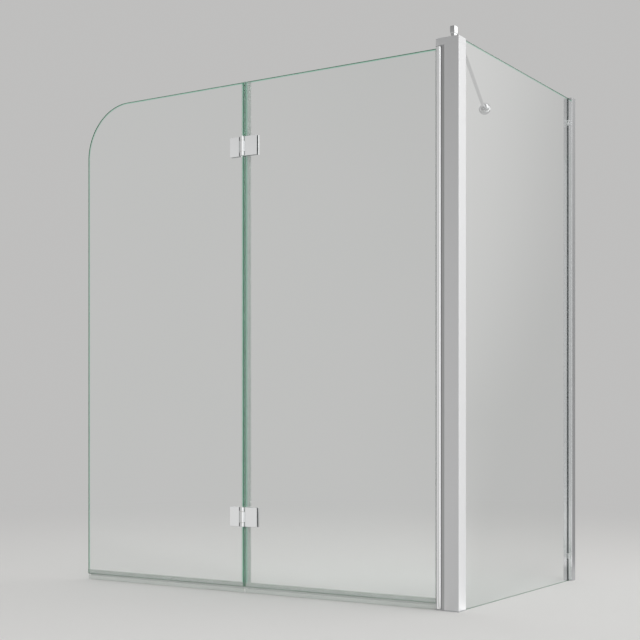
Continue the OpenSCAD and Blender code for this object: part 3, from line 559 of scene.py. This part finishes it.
def pane(name, node, body, thin, screw_x=None, round_corner=False):
    """A pane of glass with green edges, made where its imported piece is."""
    low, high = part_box(node)
    bm = box_mesh(low, high)
    if round_corner:
        corner = [e for e in bm.edges
                  if all(abs(v.co.x - low.x) < ON_PLANE and abs(v.co.z - high.z) < ON_PLANE
                         for v in e.verts)]
        soften(bm, CORNER_RADIUS, corner, segments=CORNER_STEPS)
    rim = [e for e in bm.edges if any(is_wide(f, thin) for f in e.link_faces)]
    soften(bm, GLASS_ARRIS, rim, segments=1)
    wide = [f for f in bm.faces if is_wide(f, thin)]
    bmesh.ops.inset_individual(bm, faces=wide, thickness=RIM_GLOW, use_even_offset=True)
    made = as_object(bm, name)
    if screw_x is not None:
        combine(made, screw_holes(screw_x, low.y, high.y), "DIFFERENCE")
    place_piece(made, "clear_glass", body, node, smooth_deg=PANE_SMOOTH_DEG)
    made.data.materials.append(green_edge)
    made.data.materials.append(rim_painted_glow)
    for face in made.data.polygons:
        if not is_wide(face, thin):
            face.material_index = EDGE_FACE
        elif from_outline(face.center, low, high, round_corner) < GLASS_ARRIS + RIM_GLOW:
            at_foot = face.center.z < low.z + RIM_GLOW
            face.material_index = CLEAR_FACE if at_foot else RING_FACE


pane("outer_pane", "outer_glass", "outer_panel", ACROSS, outer_screw_x, round_corner=True)
pane("inner_pane", "inner_glass", "inner_panel", ACROSS, inner_screw_x)
pane("side_pane", "side_glass", "fixed_frame", ALONG)

# %% [markdown]
# The hinge joins glass to glass. Each leaf is a plate with knuckles on one side, and the
# knuckles of both leaves share one pin. Knuckles rolled from sheet, as on a light door
# hinge, would give way under the glass, so they are solid. A knuckle is a rod with its rims
# rounded, and a narrow web joins it to the plate. The web stays a hair under the plate's
# back face, because a Boolean is not sure of two faces that share a plane.

# %% Knuckles and webs
BARREL_R = 6 * MM
KNUCKLE_RIM = 0.5 * MM
WEB_UNDER_FACE = 0.01 * MM
WEB_OVERLAP = 2 * MM

fold_joint = next(j for j in frame["joints"] if j["name"] == "outer_panel_fold")
PIN_X, PIN_Y = fold_joint["pos_m"][0], fold_joint["pos_m"][1]


def knuckle(foot, top):
    """One knuckle of the barrel, with rounded rims."""
    return soften(rod_mesh(BARREL_R, (PIN_X, PIN_Y, foot), (PIN_X, PIN_Y, top)), KNUCKLE_RIM)


def web(left, right, front, back, foot, top):
    """The bridge between a plate and a knuckle, between the knuckle's rims."""
    return box_mesh((left, front, foot + KNUCKLE_RIM),
                    (right, back - WEB_UNDER_FACE, top - KNUCKLE_RIM))


def pin_bore(radius, low, high):
    """A tool that drills the bore for the pin through a whole leaf."""
    return rod_mesh(radius, (PIN_X, PIN_Y, low.z - OVERCUT), (PIN_X, PIN_Y, high.z + OVERCUT))


print(f"hinge pins at x {PIN_X:.4f}, y {PIN_Y:.4f} m")

# %% [markdown]
# The leaf on the inner pane carries the middle knuckle, close beside its plate. Plate, web
# and knuckle become one solid, and the bore is drilled last, so that it runs through
# everything in one line. It is wide enough for the bushes.

# %% Leaf on the inner pane
PLATE_T = 4 * MM
PLATE_EDGE = 0.7 * MM
BUSH_R = 4.1 * MM
MIDDLE_KNUCKLE_H = 29 * MM
INNER_WEB_T = 3.6 * MM
PLATE_TO_BARREL = 0.3 * MM


def inner_leaf(level):
    """Leaf on the inner pane: a plate with the middle knuckle."""
    node = f"{level}_inner_hinge_leaf"
    low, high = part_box(node)
    middle = (low.z + high.z) / 2
    foot, top = middle - MIDDLE_KNUCKLE_H / 2, middle + MIDDLE_KNUCKLE_H / 2
    plate_left = PIN_X + BARREL_R + PLATE_TO_BARREL
    plate = soften(box_mesh((plate_left, high.y - PLATE_T, low.z), high), PLATE_EDGE)
    bridge = web(PIN_X, plate_left + WEB_OVERLAP, high.y - INNER_WEB_T, high.y, foot, top)
    made = as_object(plate, f"{level}_inner_leaf")
    combine(made, [bridge, knuckle(foot, top)], "UNION")
    combine(made, [pin_bore(BUSH_R, low, high)], "DIFFERENCE")
    place_piece(made, "bright_chrome", "inner_panel", node)


print("middle knuckle", MIDDLE_KNUCKLE_H / MM, "mm high")

# %% [markdown]
# The leaf on the outer pane carries the two end knuckles, and its plate stands further from
# the barrel, as the photograph shows. Its webs lie in the groove between plate and barrel,
# and their front takes the dull chrome, whose dark colour is painted shade for the gap. The
# front is found by its place, because no other face of the leaf lies in that plane.

# %% Leaf on the outer pane
PIN_R = 3 * MM
END_KNUCKLE_H = 11 * MM
OUTER_WEB_T = 2.4 * MM
OUTER_PLATE_TO_BARREL = 5.9 * MM
IN_PLANE = 0.01 * MM
SHADED_GROOVE_FACE = 1


def outer_leaf(level):
    """Leaf on the outer pane: a plate with the two end knuckles."""
    node = f"{level}_outer_hinge_leaf"
    low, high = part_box(node)
    plate_right = PIN_X - BARREL_R - OUTER_PLATE_TO_BARREL
    plate = soften(box_mesh((low.x, high.y - PLATE_T, low.z),
                            (plate_right, high.y, high.z)), PLATE_EDGE)
    made = as_object(plate, f"{level}_outer_leaf")
    web_front = high.y - OUTER_WEB_T
    parts = []
    for foot in (low.z, high.z - END_KNUCKLE_H):
        top = foot + END_KNUCKLE_H
        parts.append(web(plate_right - WEB_OVERLAP, PIN_X, web_front, high.y, foot, top))
        parts.append(knuckle(foot, top))
    combine(made, parts, "UNION")
    combine(made, [pin_bore(PIN_R, low, high)], "DIFFERENCE")
    place_piece(made, "bright_chrome", "outer_panel", node)
    # The web fronts in the groove take the dull chrome with its painted shade.
    made.data.materials.append(groove_painted_shade)
    for face in made.data.polygons:
        if abs(face.center.y - web_front) < IN_PLANE:
            face.material_index = SHADED_GROOVE_FACE


for level in ("upper", "lower"):
    inner_leaf(level)
    outer_leaf(level)

# %% [markdown]
# Screws with flat heads need countersinks. A cutting tool with the screw's own shape makes
# them, a little larger than the head: its section is turned round its axis, as on a lathe.

# %% Countersinks
SINK_LIP = 0.3 * MM
SAME_POINT = 1e-7


def turned_mesh(section, origin, axis, closed=False, steps=ROUND_STEPS):
    """A section of (radius, height) points, turned round an axis through the origin."""
    bm = bmesh.new()
    line = [bm.verts.new((r, 0, h)) for r, h in section]
    ends = zip(line, line[1:] + line[:1] if closed else line[1:])
    edges = [bm.edges.new(pair) for pair in ends]
    bmesh.ops.spin(bm, geom=line + edges, cent=(0, 0, 0), axis=(0, 0, 1),
                   angle=math.tau, steps=steps, use_merge=True)
    bmesh.ops.remove_doubles(bm, verts=bm.verts, dist=SAME_POINT)
    bmesh.ops.recalc_face_normals(bm, faces=bm.faces)
    turn = Vector(axis).to_track_quat("Z", "Y").to_matrix().to_4x4()
    bmesh.ops.transform(bm, matrix=Matrix.Translation(Vector(origin)) @ turn, verts=bm.verts)
    return bm


def sink_tool(head_r, bore_r, depth, mouth, outwards):
    """A tool that cuts a countersink and its bore, from its mouth on a face inwards."""
    section = [(0, OVERCUT), (head_r, OVERCUT), (head_r, -SINK_LIP),
               (bore_r, -SINK_LIP - (head_r - bore_r)), (bore_r, -depth), (0, -depth)]
    return turned_mesh(section, mouth, outwards, steps=HOLE_STEPS)


print("countersinks start", SINK_LIP / MM, "mm deep")

# %% [markdown]
# Inside the glass each leaf has a counter plate, held by two countersunk screws. It is a
# plain plate with soft edges, so a box will do, and the sinks are cut into its free face.

# %% Hinge covers
SINK_TOP_R = 4.7 * MM
SINK_BORE_R = 2.6 * MM


def hinge_cover(level, side, body, screw_x):
    """Counter plate with two countersunk holes."""
    node = f"{level}_{side}_hinge_cover"
    low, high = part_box(node)
    middle = (low.z + high.z) / 2
    made = as_object(soften(box_mesh(low, high), PLATE_EDGE), f"{level}_{side}_cover")
    mouths = [(screw_x, high.y, middle + way * HINGE_SCREW_DZ) for way in (-1, 1)]
    combine(made, [sink_tool(SINK_TOP_R, SINK_BORE_R, PLATE_T + OVERCUT, mouth, ACROSS)
                   for mouth in mouths], "DIFFERENCE")
    place_piece(made, "bright_chrome", body, node)


for level in ("upper", "lower"):
    hinge_cover(level, "inner", "inner_panel", inner_screw_x)
    hinge_cover(level, "outer", "outer_panel", outer_screw_x)

# %% [markdown]
# The cap closes the post and reaches over the pivot with a round nose. Seen from above it
# is one outline: a square, a nose with a half-round end, and a notch for the side pane.
# Boxes and rods could be joined to the same shape, but one outline leaves no seams.

# %% Outline of the post cap
POST_HALF = 20 * MM
POST_EDGE_R = 1 * MM
POST_EDGE_STEPS = 6
CAP_NOSE_R = 11 * MM
CAP_NOSE_STEPS = 32
PANE_SLOT_GAP = 0.3 * MM


def arc(centre, radius, start_deg, stop_deg, steps):
    """Points along an arc, both ends included."""
    turns = [math.radians(start_deg + (stop_deg - start_deg) * k / steps)
             for k in range(steps + 1)]
    return [(centre[0] + radius * math.cos(a), centre[1] + radius * math.sin(a)) for a in turns]


def cap_outline(low, high, side_low, side_high):
    """Outline of the cap seen from above, counter-clockwise."""
    nose_back = low.y + 2 * CAP_NOSE_R
    nose_centre = (low.x + CAP_NOSE_R, low.y + CAP_NOSE_R)
    near = POST_HALF - POST_EDGE_R
    slot_left = side_low.x - PANE_SLOT_GAP
    slot_right = side_high.x + PANE_SLOT_GAP
    slot_front = side_low.y - PANE_SLOT_GAP
    points = arc((near, -near), POST_EDGE_R, 270, 360, POST_EDGE_STEPS)
    points += arc((near, near), POST_EDGE_R, 0, 90, POST_EDGE_STEPS)
    points += [(slot_right, high.y), (slot_right, slot_front),
               (slot_left, slot_front), (slot_left, high.y)]
    points += arc((-near, near), POST_EDGE_R, 90, 180, POST_EDGE_STEPS)
    points += [(-POST_HALF, nose_back)]
    points += arc(nose_centre, CAP_NOSE_R, 90, 270, CAP_NOSE_STEPS)
    return points


cap_low, cap_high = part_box("post_top_cap")
cap_points = cap_outline(cap_low, cap_high, *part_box("side_glass"))
print("points in the outline of the cap:", len(cap_points))

# %% [markdown]
# The outline is pulled up by the height of the cap, its top edge is rounded like a
# casting's, and three countersinks take the screws. Only the top edge is rounded, because
# the lower one sits on the post and stays sharp.

# %% Post cap
CAP_TOP_EDGE = 0.8 * MM
CAP_SCREW_AT = 15.2 * MM
CAP_SINK_R = 3.7 * MM
CAP_BORE_R = 1.6 * MM


def raised_mesh(outline, z_low, z_high):
    """A flat outline of (x, y) points, pulled up from one height to another."""
    bm = bmesh.new()
    sheet = bm.faces.new([bm.verts.new((x, y, z_low)) for x, y in outline])
    raised = bmesh.ops.extrude_face_region(bm, geom=[sheet])
    top = [g for g in raised["geom"] if isinstance(g, bmesh.types.BMVert)]
    bmesh.ops.translate(bm, vec=(0, 0, z_high - z_low), verts=top)
    bmesh.ops.recalc_face_normals(bm, faces=bm.faces)
    return bm


bm = raised_mesh(cap_points, cap_low.z, cap_high.z)
top_rim = [e for e in bm.edges if all(abs(v.co.z - cap_high.z) < ON_PLANE for v in e.verts)]
cap = as_object(soften(bm, CAP_TOP_EDGE, top_rim), "post_cap")
through = cap_high.z - cap_low.z + OVERCUT
cap_screws = [(-CAP_SCREW_AT, -CAP_SCREW_AT), (CAP_SCREW_AT, -CAP_SCREW_AT),
              (-CAP_SCREW_AT, CAP_SCREW_AT)]
combine(cap, [sink_tool(CAP_SINK_R, CAP_BORE_R, through, (x, y, cap_high.z), UP)
              for x, y in cap_screws], "DIFFERENCE")
place_piece(cap, "cast_cap", "fixed_frame", "post_top_cap")

# %% [markdown]
# The block on the cap clamps the ball of the bar. It is a small chromed brick on a narrower
# neck. The round hollow for the ball opens at its back, and a short bore from above holds
# the set screw. Both meet inside the block, so a ball and a rod cut them in one step.

# %% Stabiliser block
BLOCK_EDGE = 1 * MM
NECK_H = 10.8 * MM
NECK_IN = 1.5 * MM
NECK_EDGE = 0.6 * MM
NECK_OVERLAP = 2 * MM
BALL_R = 5 * MM
BALL_GAP = 0.05 * MM
BALL_INSET = 3.2 * MM
BALL_ABOVE_NECK = 9 * MM
HOLLOW_RINGS = 32
SET_SCREW_R = 2 * MM

low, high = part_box("stabiliser_block")
neck_top = low.z + NECK_H
ball_at_block = Vector(((low.x + high.x) / 2, high.y - BALL_INSET, neck_top + BALL_ABOVE_NECK))
block = as_object(soften(box_mesh((low.x, low.y, neck_top), high), BLOCK_EDGE), "clamp_block")
neck = soften(box_mesh((low.x + NECK_IN, low.y + NECK_IN, low.z),
                       (high.x - NECK_IN, high.y - NECK_IN, neck_top + NECK_OVERLAP)),
              NECK_EDGE)
combine(block, [neck], "UNION")
hollow = bmesh.new()
bmesh.ops.create_uvsphere(hollow, u_segments=HOLE_STEPS, v_segments=HOLLOW_RINGS,
                          radius=BALL_R + BALL_GAP, matrix=Matrix.Translation(ball_at_block))
above_block = (ball_at_block.x, ball_at_block.y, high.z + OVERCUT)
screw_bore = rod_mesh(SET_SCREW_R, ball_at_block, above_block)
combine(block, [hollow, screw_bore], "DIFFERENCE")
place_piece(block, "bright_chrome", "fixed_frame", "stabiliser_block")

# %% [markdown]
# The bar is a plain chromed rod. At each end a turned piece carries it: a ball that sits in
# its socket, a thin neck, and a collar that the rod pushes into. A ball and two rods could
# be joined, but one section, turned round the line of the bar, has no seams. It makes both
# ends, and the one at the far end just points the other way.

# %% Stabiliser bar and its ball ends
BAR_R = 5 * MM
BAR_START = 12 * MM
BAR_STEPS = 96
BALL_NECK_R = 2.1 * MM
BALL_NECK_END = 8 * MM
BALL_STEPS = 28
COLLAR_R = 6.4 * MM
COLLAR_SLOPE = 1.4 * MM
COLLAR_EDGE = 0.6 * MM
COLLAR_END = 22 * MM
BALL_OFF_WALL = 10 * MM

cup_low, cup_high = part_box("bracket_cup")
ball_at_wall = Vector(((cup_low.x + cup_high.x) / 2, cup_high.y - BALL_OFF_WALL,
                       (cup_low.z + cup_high.z) / 2))
bar_way = (ball_at_wall - ball_at_block).normalized()
neck_angle = math.degrees(math.asin(BALL_NECK_R / BALL_R))
ball_curve = arc((0, 0), BALL_R, 180, neck_angle, BALL_STEPS)
# The curve starts at the ball's far end and runs along the bar, so its points are (height,
# radius), and the section needs them the other way round.
ball_end_section = [(r, h) for h, r in ball_curve]
ball_end_section += [
    (BALL_NECK_R, BALL_NECK_END), (COLLAR_R - COLLAR_SLOPE, BALL_NECK_END),
    (COLLAR_R, BALL_NECK_END + COLLAR_SLOPE), (COLLAR_R, COLLAR_END - COLLAR_EDGE),
    (COLLAR_R - COLLAR_EDGE, COLLAR_END), (BAR_R, COLLAR_END), (BAR_R, BAR_START),
    (0, BAR_START),
]
ends = (("ball_end_at_block", ball_at_block, bar_way, "front_ball_end"),
        ("ball_end_at_wall", ball_at_wall, -bar_way, "wall_ball_end"))
for name, ball, way, node in ends:
    ball_end = as_object(turned_mesh(ball_end_section, ball, way), name)
    place_piece(ball_end, "bar_chrome", "fixed_frame", node)

bar_mesh = rod_mesh(BAR_R, ball_at_block + BAR_START * bar_way,
                    ball_at_wall - BAR_START * bar_way, steps=BAR_STEPS)
place_piece(as_object(bar_mesh, "brace_bar"), "bar_chrome", "fixed_frame", "stabiliser_bar")

# %% [markdown]
# At the bar's far end a cup covers the bracket's base. It is spun metal: a thin shell that
# rises straight and then closes in a quarter round. A Solidify modifier could thicken a
# single skin, but the mouth and the rim would then get slanting edges. So the section is a
# closed ring of points, the outside first and the inside back.

# %% Bracket cup
CUP_WALL = 1.4 * MM
CUP_RIM = 5 * MM
CUP_MOUTH_R = 8.3 * MM
CUP_STEPS = 96
DOME_STEPS = 14

cup_r = (cup_high.x - cup_low.x) / 2
cup_depth = cup_high.y - cup_low.y
dome_r = cup_depth - CUP_RIM
dome_at = (cup_r - dome_r, CUP_RIM)
cup_section = [(cup_r, 0)]
cup_section += arc(dome_at, dome_r, 0, 90, DOME_STEPS)
cup_section += [(CUP_MOUTH_R, cup_depth), (CUP_MOUTH_R, cup_depth - CUP_WALL)]
cup_section += arc(dome_at, dome_r - CUP_WALL, 90, 0, DOME_STEPS)
cup_section += [(cup_r - CUP_WALL, 0)]
cup_at = (ball_at_wall.x, cup_high.y, ball_at_wall.z)
cup = as_object(turned_mesh(cup_section, cup_at, -ACROSS, closed=True, steps=CUP_STEPS),
                "wall_rosette")
place_piece(cup, "bar_chrome", "fixed_frame", "bracket_cup")

# %% [markdown]
# The studio has one pale tone, and the camera sees it plain, also through the glass. The
# metal would look flat in it, so what is mirrored, and what falls on the screen as light,
# has a few wide, soft patches as well. A bright one behind on the right whitens the post's
# outer face, as in the photograph, and one overhead brightens the tops. Others in front and
# on the right light the round pivot and the barrels, and darker ones behind, in front above
# and on the left add contrast. A picture of a studio could light the screen too, but a few
# patches can be moved one by one.

# %% Patches in the studio's tone
PALE = (0.52, 0.517, 0.512)

# Each patch has its direction, the angles from it where the patch starts and where it is
# full, and how much brighter or darker it is than the pale tone.
PATCHES = {
    "behind on the right": ((0.727, 0.654, 0.208), 27.0, 20.0, 1.05),
    "behind, narrow and dark": ((0.33, 0.94, 0.07), 14.0, 7.0, -0.20),
    "overhead": ((0.0, 0.0, 1.0), 45.0, 5.0, 0.25),
    "in front, wide": ((0.36, -0.92, 0.12), 40.0, 18.0, 0.12),
    "in front, narrow": ((0.54, -0.83, 0.10), 14.0, 6.0, 0.36),
    "in front on the left": ((-0.74, -0.67, 0.08), 22.0, 14.0, 0.24),
    "in front above, dark": ((-0.33, -0.68, 0.65), 34.0, 10.0, -0.38),
    "on the left, dark": ((-0.98, -0.18, 0.12), 20.0, 5.0, -0.26),
    "on the right": ((0.925, -0.374, 0.07), 22.0, 11.0, 0.75),
}


def patch_tone(tree, direction, aim, outer_deg, inner_deg, change):
    """What one patch adds in a direction, as a share of the pale tone."""
    towards = tree.nodes.new("ShaderNodeVectorMath")
    towards.operation = "DOT_PRODUCT"
    towards.inputs[1].default_value = Vector(aim).normalized()
    tree.links.new(direction, towards.inputs[0])
    patch = tree.nodes.new("ShaderNodeMapRange")
    patch.interpolation_type = "SMOOTHSTEP"
    patch.inputs["From Min"].default_value = math.cos(math.radians(outer_deg))
    patch.inputs["From Max"].default_value = math.cos(math.radians(inner_deg))
    patch.inputs["To Max"].default_value = change / PALE[0]
    tree.links.new(towards.outputs["Value"], patch.inputs["Value"])
    return patch.outputs["Result"]


print("patches:", ", ".join(PATCHES))

# %% [markdown]
# The next helper adds the patches up for a direction, so that world and floor can share one
# tone. For camera rays, and for rays that have come through the glass, the sum is left out.

# %% Tone of the studio
def math_node(tree, operation, first, second, clamp=False):
    """A sum or another step of arithmetic between two sockets."""
    step = tree.nodes.new("ShaderNodeMath")
    step.operation = operation
    step.use_clamp = clamp
    tree.links.new(first, step.inputs[0])
    tree.links.new(second, step.inputs[1])
    return step.outputs["Value"]


def studio_tone(tree, direction):
    """Brightness of the studio in a direction, as a share of the pale tone."""
    rays = tree.nodes.new("ShaderNodeLightPath")
    seen = math_node(tree, "ADD", rays.outputs["Is Camera Ray"],
                     rays.outputs["Is Transmission Ray"], clamp=True)
    plain = tree.nodes.new("ShaderNodeValue")
    plain.outputs["Value"].default_value = 1.0
    level = plain.outputs["Value"]
    for patch in PATCHES.values():
        level = math_node(tree, "ADD", level, patch_tone(tree, direction, *patch))
    tone = tree.nodes.new("ShaderNodeMix")
    tree.links.new(seen, tone.inputs["Factor"])
    tree.links.new(level, tone.inputs["A"])
    tree.links.new(plain.outputs["Value"], tone.inputs["B"])
    return tone.outputs["Result"]


print("the tone adds up", len(PATCHES), "patches")

# %% [markdown]
# The floor is a wide round sheet. Near the screen it is an ordinary matt surface that takes
# the shadows. Further out it passes into the tone of the studio, so there is no line where
# it ends. Metal and glass mirror the whole floor in that tone, so that upright metal doesn't
# turn dark towards its foot.

# %% Floor
FLOOR_ALBEDO = (0.75, 0.746, 0.738)
FLOOR_ROUGHNESS = 0.9
FLOOR_RADIUS = 120.0
FLOOR_STEPS = 96
FADE_START, FADE_END = 1.0, 4.2

bm = bmesh.new()
bmesh.ops.create_circle(bm, cap_ends=True, segments=FLOOR_STEPS, radius=FLOOR_RADIUS)
floor = as_object(bm, "floor")
floor_finish = new_finish("floor_finish", FLOOR_ALBEDO)
matt = principled(floor_finish)
matt.inputs["Roughness"].default_value = FLOOR_ROUGHNESS
matt.inputs["Specular IOR Level"].default_value = 0.0

tree = floor_finish.node_tree
place = tree.nodes.new("ShaderNodeTexCoord")
distance = tree.nodes.new("ShaderNodeVectorMath")
distance.operation = "LENGTH"
outward = tree.nodes.new("ShaderNodeVectorMath")
outward.operation = "NORMALIZE"
tree.links.new(place.outputs["Object"], distance.inputs[0])
tree.links.new(place.outputs["Object"], outward.inputs[0])
far_tone = tree.nodes.new("ShaderNodeEmission")
far_tone.inputs["Color"].default_value = (*PALE, 1.0)
tree.links.new(studio_tone(tree, outward.outputs["Vector"]), far_tone.inputs["Strength"])

fade = tree.nodes.new("ShaderNodeMapRange")
fade.interpolation_type = "SMOOTHSTEP"
fade.inputs["From Min"].default_value = FADE_START
fade.inputs["From Max"].default_value = FADE_END
tree.links.new(distance.outputs["Value"], fade.inputs["Value"])
rays = tree.nodes.new("ShaderNodeLightPath")
mirrored = math_node(tree, "SUBTRACT", rays.outputs["Is Glossy Ray"],
                     rays.outputs["Is Transmission Ray"], clamp=True)
toned = math_node(tree, "ADD", mirrored, fade.outputs["Result"], clamp=True)
either = tree.nodes.new("ShaderNodeMixShader")
tree.links.new(toned, either.inputs["Fac"])
tree.links.new(matt.outputs["BSDF"], either.inputs[1])
tree.links.new(far_tone.outputs["Emission"], either.inputs[2])
tree.links.new(either.outputs["Shader"], tree.nodes["Material Output"].inputs["Surface"])
floor.data.materials.append(floor_finish)
print("floor made,", FLOOR_RADIUS, "m in radius")

# %% [markdown]
# The world takes the same tone. The Generated coordinate gives its direction, because for a
# world that is the direction of the ray.

# %% World
world = bpy.data.worlds.new("studio")
bpy.context.scene.world = world
world.use_nodes = True
tree = world.node_tree
background = tree.nodes["Background"]
background.inputs["Color"].default_value = (*PALE, 1.0)
direction = tree.nodes.new("ShaderNodeTexCoord")
tree.links.new(studio_tone(tree, direction.outputs["Generated"]), background.inputs["Strength"])
print("world made with a tone of", PALE)

# %% [markdown]
# Two very large, dim soft boxes light the screen and cast its shadow. They are so large
# because a smaller one would have to be brighter, and the chrome would show it as a glare.
# The key hangs high in front on the right, where no pane mirrors it into the picture, and
# the fill hangs high behind on the left. Neither is seen by the camera itself.

# %% Lamps
MIDDLE = (-0.55, 0.2, 0.7)


def soft_box(name, place, size, brightness):
    """A large square lamp, turned towards the middle of the screen, as bright as a tone."""
    lamp = bpy.data.lights.new(name, "AREA")
    lamp.shape = "RECTANGLE"
    lamp.size = size
    lamp.size_y = size
    lamp.energy = math.pi * size * size * brightness
    made = bpy.data.objects.new(name, lamp)
    made.location = place
    aim = Vector(MIDDLE) - Vector(place)
    made.rotation_euler = aim.to_track_quat("-Z", "Y").to_euler()
    made.visible_camera = False
    bpy.context.scene.collection.objects.link(made)
    print(f"{name}: {lamp.energy:.1f} W")


soft_box("key", place=(3.0, -1.2, 4.6), size=4.8, brightness=1.56)
soft_box("fill", place=(-3.4, 1.8, 4.0), size=2.6, brightness=0.8)
